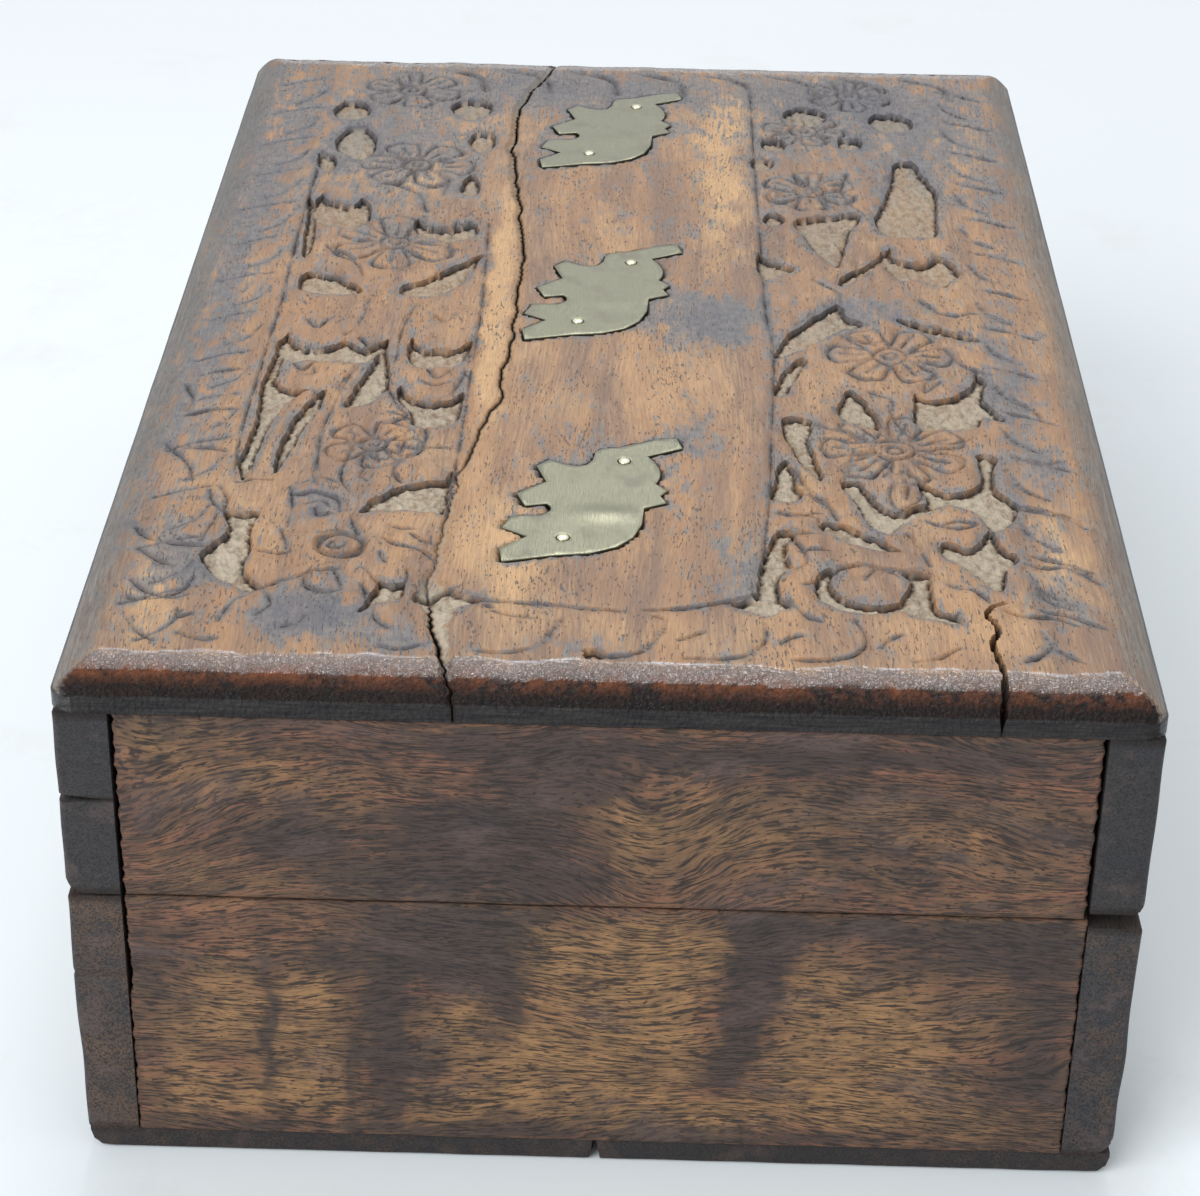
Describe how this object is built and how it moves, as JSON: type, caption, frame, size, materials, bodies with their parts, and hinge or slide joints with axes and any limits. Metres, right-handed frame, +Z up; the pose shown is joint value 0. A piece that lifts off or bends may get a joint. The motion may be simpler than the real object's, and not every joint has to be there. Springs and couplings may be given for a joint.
{
  "type": "carved wooden trinket box",
  "caption": "Rectangular wooden box with a hinged lid, a moulded and carved top and metal elephant inlays.",
  "frame": {"origin": "middle of the underside of the bottom board", "axes": "+X to the right along the length, +Y to the back where the hinges are, +Z up"},
  "size_m": [0.203, 0.1305, 0.0693],
  "materials": {
    "carved_wood": "worn oil and wax over rubbed brown stain, dust in the sunk ground",
    "wall_wood": "dark aged polish with golden figure",
    "edge_wood": "dark dry board with bare end grain",
    "grey_brass": "dull grey tarnish with a rubbed highlight",
    "bright_pin": "filed bright",
    "aged_brass": "brown tarnish",
    "dark_iron": "dark oxide"
  },
  "bodies": {
    "base": {"base_front_board": "edge_wood", "base_back_board": "edge_wood", "base_left_end_board": "wall_wood", "base_right_end_board": "wall_wood", "base_bottom_board": "edge_wood", "left_hinge_base_leaf": "aged_brass", "left_hinge_pin": "aged_brass", "left_hinge_base_nail_1": "aged_brass", "left_hinge_base_nail_2": "aged_brass", "right_hinge_base_leaf": "aged_brass", "right_hinge_pin": "aged_brass", "right_hinge_base_nail_1": "aged_brass", "right_hinge_base_nail_2": "aged_brass", "base_corner_nail_front_left_lower": "dark_iron", "base_corner_nail_front_left_upper": "dark_iron", "base_corner_nail_front_right_lower": "dark_iron", "base_corner_nail_front_right_upper": "dark_iron", "base_corner_nail_back_left_lower": "dark_iron", "base_corner_nail_back_left_upper": "dark_iron", "base_corner_nail_back_right_lower": "dark_iron", "base_corner_nail_back_right_upper": "dark_iron", "bottom_nail_side_front_left": "dark_iron", "bottom_nail_side_front_right": "dark_iron", "bottom_nail_side_back_left": "dark_iron", "bottom_nail_side_back_right": "dark_iron", "bottom_nail_end_front_left": "dark_iron", "bottom_nail_end_front_right": "dark_iron", "bottom_nail_end_back_left": "dark_iron", "bottom_nail_end_back_right": "dark_iron"},
    "lid": {"lid_top_board": "carved_wood", "lid_front_board": "edge_wood", "lid_back_board": "edge_wood", "lid_left_end_board": "wall_wood", "lid_right_end_board": "wall_wood", "elephant_inlay_left": "grey_brass", "elephant_inlay_middle": "grey_brass", "elephant_inlay_right": "grey_brass", "inlay_pin_left_head": "bright_pin", "inlay_pin_left_rump": "bright_pin", "inlay_pin_middle_head": "bright_pin", "inlay_pin_middle_rump": "bright_pin", "inlay_pin_right_head": "bright_pin", "inlay_pin_right_rump": "bright_pin", "left_hinge_lid_leaf": "aged_brass", "left_hinge_lid_nail_1": "aged_brass", "left_hinge_lid_nail_2": "aged_brass", "right_hinge_lid_leaf": "aged_brass", "right_hinge_lid_nail_1": "aged_brass", "right_hinge_lid_nail_2": "aged_brass", "lid_top_nail_left": "dark_iron", "lid_top_nail_right": "dark_iron", "lid_corner_nail_front_left_lower": "dark_iron", "lid_corner_nail_front_left_upper": "dark_iron", "lid_corner_nail_front_right_lower": "dark_iron", "lid_corner_nail_front_right_upper": "dark_iron", "lid_corner_nail_back_left_lower": "dark_iron", "lid_corner_nail_back_left_upper": "dark_iron", "lid_corner_nail_back_right_lower": "dark_iron", "lid_corner_nail_back_right_upper": "dark_iron"}
  },
  "joints": [
    {"name": "lid_hinge", "type": "hinge", "parent": "base", "child": "lid", "pos_m": [0, 0.06535, 0.03895], "axis": [-1, 0, 0], "range_deg": [0, 180]}
  ]
}
